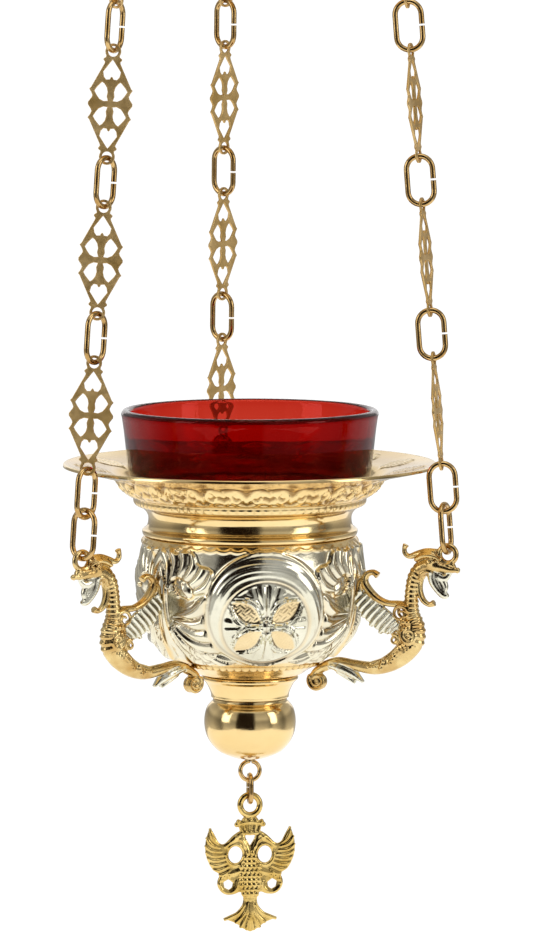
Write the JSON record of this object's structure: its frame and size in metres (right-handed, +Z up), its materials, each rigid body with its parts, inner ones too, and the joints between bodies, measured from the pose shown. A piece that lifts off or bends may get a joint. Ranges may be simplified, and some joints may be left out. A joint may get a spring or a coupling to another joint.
{
  "type": "sanctuary lamp",
  "caption": "Hanging vigil lamp: a red glass cup in an embossed brass bowl with a wide drip dish, on three dragon handles and three chains of links and pierced plates.",
  "frame": {"origin": "the point where the hook hangs, at the inner top of its upper bend", "axes": "+Z up along the lamp's axis; -Y is the front, with one medallion; the chains stand at -30, 90 and 210 degrees about +Z"},
  "size_m": [0.098, 0.1024, 0.3429],
  "materials": {
    "polished_brass": "polished, gold plated",
    "satin_brass": "satin",
    "silvered_brass": "polished, silver plated",
    "ruby_glass": "polished, red",
    "plated_steel": "zinc plated",
    "cork": "raw",
    "cotton_wick": "woven"
  },
  "bodies": {
    "hook": {"hanging_hook": "polished_brass"},
    "ring": {"hanging_ring": "polished_brass"},
    "lamp": {"canopy_dome": "polished_brass", "canopy_finial": "polished_brass", "canopy_eyebolt": "polished_brass", "canopy_nut": "plated_steel", "drip_dish": "polished_brass", "bowl": "silvered_brass", "base_collar": "polished_brass", "base_knob": "polished_brass", "tie_rod_eye": "polished_brass", "tie_rod_washer": "plated_steel", "tie_rod_nut": "plated_steel", "dragon_right": "polished_brass", "dragon_right_nut": "plated_steel", "dragon_rear": "polished_brass", "dragon_rear_nut": "plated_steel", "dragon_left": "polished_brass", "dragon_left_nut": "plated_steel"},
    "pendant_ring": {"pendant_ring": "polished_brass"},
    "eagle_pendant": {"eagle_pendant": "polished_brass"},
    "glass_cup": {"glass_cup": "ruby_glass"},
    "wick_float": {"float_cork": "cork", "float_collar": "plated_steel"},
    "wick": {"float_wick": "cotton_wick"},
    "chain_right_link_1": {"chain_right_link_1": "polished_brass"},
    "chain_right_link_2": {"chain_right_link_2": "polished_brass"},
    "chain_right_plate_1": {"chain_right_plate_1": "satin_brass"},
    "chain_right_link_3": {"chain_right_link_3": "polished_brass"},
    "chain_right_plate_2": {"chain_right_plate_2": "satin_brass"},
    "chain_right_link_4": {"chain_right_link_4": "polished_brass"},
    "chain_right_plate_3": {"chain_right_plate_3": "satin_brass"},
    "chain_right_link_5": {"chain_right_link_5": "polished_brass"},
    "chain_right_plate_4": {"chain_right_plate_4": "satin_brass"},
    "chain_right_link_6": {"chain_right_link_6": "polished_brass"},
    "chain_rear_link_1": {"chain_rear_link_1": "polished_brass"},
    "chain_rear_link_2": {"chain_rear_link_2": "polished_brass"},
    "chain_rear_plate_1": {"chain_rear_plate_1": "satin_brass"},
    "chain_rear_link_3": {"chain_rear_link_3": "polished_brass"},
    "chain_rear_plate_2": {"chain_rear_plate_2": "satin_brass"},
    "chain_rear_link_4": {"chain_rear_link_4": "polished_brass"},
    "chain_rear_plate_3": {"chain_rear_plate_3": "satin_brass"},
    "chain_rear_link_5": {"chain_rear_link_5": "polished_brass"},
    "chain_rear_plate_4": {"chain_rear_plate_4": "satin_brass"},
    "chain_rear_link_6": {"chain_rear_link_6": "polished_brass"},
    "chain_left_link_1": {"chain_left_link_1": "polished_brass"},
    "chain_left_link_2": {"chain_left_link_2": "polished_brass"},
    "chain_left_plate_1": {"chain_left_plate_1": "satin_brass"},
    "chain_left_link_3": {"chain_left_link_3": "polished_brass"},
    "chain_left_plate_2": {"chain_left_plate_2": "satin_brass"},
    "chain_left_link_4": {"chain_left_link_4": "polished_brass"},
    "chain_left_plate_3": {"chain_left_plate_3": "satin_brass"},
    "chain_left_link_5": {"chain_left_link_5": "polished_brass"},
    "chain_left_plate_4": {"chain_left_plate_4": "satin_brass"},
    "chain_left_link_6": {"chain_left_link_6": "polished_brass"}
  },
  "joints": [
    {"name": "ring_swing", "type": "hinge", "parent": "hook", "child": "ring", "pos_m": [0, 0, -0.02565], "axis": [1, 0, 0], "range_deg": [-20, 20]},
    {"name": "lamp_swing", "type": "hinge", "parent": "ring", "child": "lamp", "pos_m": [0, 0, -0.03871], "axis": [0, 1, 0], "range_deg": [-20, 20]},
    {"name": "pendant_ring_swing", "type": "hinge", "parent": "lamp", "child": "pendant_ring", "pos_m": [0, 0, -0.30186], "axis": [1, 0, 0], "range_deg": [-25, 25]},
    {"name": "eagle_swing", "type": "hinge", "parent": "pendant_ring", "child": "eagle_pendant", "pos_m": [0, 0, -0.30735], "axis": [0, 1, 0], "range_deg": [-25, 25]},
    {"name": "cup_lift", "type": "slide", "parent": "lamp", "child": "glass_cup", "axis": [0, 0, 1], "range_m": [0, 0.06]},
    {"name": "float_rise", "type": "slide", "parent": "glass_cup", "child": "wick_float", "axis": [0, 0, 1], "range_m": [0, 0.02]},
    {"name": "wick_feed", "type": "slide", "parent": "wick_float", "child": "wick", "axis": [0, 0, 1], "range_m": [0, 0.004]},
    {"name": "chain_right_link_1_twist", "type": "hinge", "parent": "lamp", "child": "chain_right_link_1", "pos_m": [0.04493, -0.02594, -0.2366], "axis": [-0.0701, 0.0405, 0.9967], "range_deg": [-15, 15]},
    {"name": "chain_right_link_2_twist", "type": "hinge", "parent": "lamp", "child": "chain_right_link_2", "pos_m": [0.04422, -0.02553, -0.22654], "axis": [-0.0701, 0.0405, 0.9967], "range_deg": [-15, 15]},
    {"name": "chain_right_plate_1_twist", "type": "hinge", "parent": "lamp", "child": "chain_right_plate_1", "pos_m": [0.04289, -0.02476, -0.20765], "axis": [-0.0701, 0.0405, 0.9967], "range_deg": [-15, 15]},
    {"name": "chain_right_link_3_twist", "type": "hinge", "parent": "lamp", "child": "chain_right_link_3", "pos_m": [0.04156, -0.024, -0.18876], "axis": [-0.0701, 0.0405, 0.9967], "range_deg": [-15, 15]},
    {"name": "chain_right_plate_2_twist", "type": "hinge", "parent": "lamp", "child": "chain_right_plate_2", "pos_m": [0.04024, -0.02323, -0.16987], "axis": [-0.0701, 0.0405, 0.9967], "range_deg": [-15, 15]},
    {"name": "chain_right_link_4_twist", "type": "hinge", "parent": "lamp", "child": "chain_right_link_4", "pos_m": [0.03891, -0.02246, -0.15099], "axis": [-0.0701, 0.0405, 0.9967], "range_deg": [-15, 15]},
    {"name": "chain_right_plate_3_twist", "type": "hinge", "parent": "lamp", "child": "chain_right_plate_3", "pos_m": [0.03758, -0.0217, -0.1321], "axis": [-0.0701, 0.0405, 0.9967], "range_deg": [-15, 15]},
    {"name": "chain_right_link_5_twist", "type": "hinge", "parent": "lamp", "child": "chain_right_link_5", "pos_m": [0.03625, -0.02093, -0.11321], "axis": [-0.0701, 0.0405, 0.9967], "range_deg": [-15, 15]},
    {"name": "chain_right_plate_4_twist", "type": "hinge", "parent": "lamp", "child": "chain_right_plate_4", "pos_m": [0.03492, -0.02016, -0.09432], "axis": [-0.0701, 0.0405, 0.9967], "range_deg": [-15, 15]},
    {"name": "chain_right_link_6_twist", "type": "hinge", "parent": "lamp", "child": "chain_right_link_6", "pos_m": [0.03359, -0.0194, -0.07543], "axis": [-0.0701, 0.0405, 0.9967], "range_deg": [-15, 15]},
    {"name": "chain_rear_link_1_twist", "type": "hinge", "parent": "lamp", "child": "chain_rear_link_1", "pos_m": [0, 0.05188, -0.2366], "axis": [0, -0.0809, 0.9967], "range_deg": [-15, 12]},
    {"name": "chain_rear_link_2_twist", "type": "hinge", "parent": "lamp", "child": "chain_rear_link_2", "pos_m": [0, 0.05106, -0.22654], "axis": [0, -0.0809, 0.9967], "range_deg": [-15, 15]},
    {"name": "chain_rear_plate_1_twist", "type": "hinge", "parent": "lamp", "child": "chain_rear_plate_1", "pos_m": [0, 0.04953, -0.20765], "axis": [0, -0.0809, 0.9967], "range_deg": [-15, 15]},
    {"name": "chain_rear_link_3_twist", "type": "hinge", "parent": "lamp", "child": "chain_rear_link_3", "pos_m": [0, 0.04799, -0.18876], "axis": [0, -0.0809, 0.9967], "range_deg": [-15, 15]},
    {"name": "chain_rear_plate_2_twist", "type": "hinge", "parent": "lamp", "child": "chain_rear_plate_2", "pos_m": [0, 0.04646, -0.16987], "axis": [0, -0.0809, 0.9967], "range_deg": [-15, 15]},
    {"name": "chain_rear_link_4_twist", "type": "hinge", "parent": "lamp", "child": "chain_rear_link_4", "pos_m": [0, 0.04493, -0.15099], "axis": [0, -0.0809, 0.9967], "range_deg": [-15, 15]},
    {"name": "chain_rear_plate_3_twist", "type": "hinge", "parent": "lamp", "child": "chain_rear_plate_3", "pos_m": [0, 0.04339, -0.1321], "axis": [0, -0.0809, 0.9967], "range_deg": [-15, 15]},
    {"name": "chain_rear_link_5_twist", "type": "hinge", "parent": "lamp", "child": "chain_rear_link_5", "pos_m": [0, 0.04186, -0.11321], "axis": [0, -0.0809, 0.9967], "range_deg": [-15, 15]},
    {"name": "chain_rear_plate_4_twist", "type": "hinge", "parent": "lamp", "child": "chain_rear_plate_4", "pos_m": [0, 0.04033, -0.09432], "axis": [0, -0.0809, 0.9967], "range_deg": [-15, 15]},
    {"name": "chain_rear_link_6_twist", "type": "hinge", "parent": "lamp", "child": "chain_rear_link_6", "pos_m": [0, 0.03879, -0.07543], "axis": [0, -0.0809, 0.9967], "range_deg": [-15, 15]},
    {"name": "chain_left_link_1_twist", "type": "hinge", "parent": "lamp", "child": "chain_left_link_1", "pos_m": [-0.04493, -0.02594, -0.2366], "axis": [0.0701, 0.0405, 0.9967], "range_deg": [-15, 8]},
    {"name": "chain_left_link_2_twist", "type": "hinge", "parent": "lamp", "child": "chain_left_link_2", "pos_m": [-0.04422, -0.02553, -0.22654], "axis": [0.0701, 0.0405, 0.9967], "range_deg": [-8, 15]},
    {"name": "chain_left_plate_1_twist", "type": "hinge", "parent": "lamp", "child": "chain_left_plate_1", "pos_m": [-0.04289, -0.02476, -0.20765], "axis": [0.0701, 0.0405, 0.9967], "range_deg": [-15, 8]},
    {"name": "chain_left_link_3_twist", "type": "hinge", "parent": "lamp", "child": "chain_left_link_3", "pos_m": [-0.04156, -0.024, -0.18876], "axis": [0.0701, 0.0405, 0.9967], "range_deg": [-8, 15]},
    {"name": "chain_left_plate_2_twist", "type": "hinge", "parent": "lamp", "child": "chain_left_plate_2", "pos_m": [-0.04024, -0.02323, -0.16987], "axis": [0.0701, 0.0405, 0.9967], "range_deg": [-15, 8]},
    {"name": "chain_left_link_4_twist", "type": "hinge", "parent": "lamp", "child": "chain_left_link_4", "pos_m": [-0.03891, -0.02246, -0.15099], "axis": [0.0701, 0.0405, 0.9967], "range_deg": [-8, 15]},
    {"name": "chain_left_plate_3_twist", "type": "hinge", "parent": "lamp", "child": "chain_left_plate_3", "pos_m": [-0.03758, -0.0217, -0.1321], "axis": [0.0701, 0.0405, 0.9967], "range_deg": [-15, 8]},
    {"name": "chain_left_link_5_twist", "type": "hinge", "parent": "lamp", "child": "chain_left_link_5", "pos_m": [-0.03625, -0.02093, -0.11321], "axis": [0.0701, 0.0405, 0.9967], "range_deg": [-8, 15]},
    {"name": "chain_left_plate_4_twist", "type": "hinge", "parent": "lamp", "child": "chain_left_plate_4", "pos_m": [-0.03492, -0.02016, -0.09432], "axis": [0.0701, 0.0405, 0.9967], "range_deg": [-15, 8]},
    {"name": "chain_left_link_6_twist", "type": "hinge", "parent": "lamp", "child": "chain_left_link_6", "pos_m": [-0.03359, -0.0194, -0.07543], "axis": [0.0701, 0.0405, 0.9967], "range_deg": [-15, 15]}
  ]
}
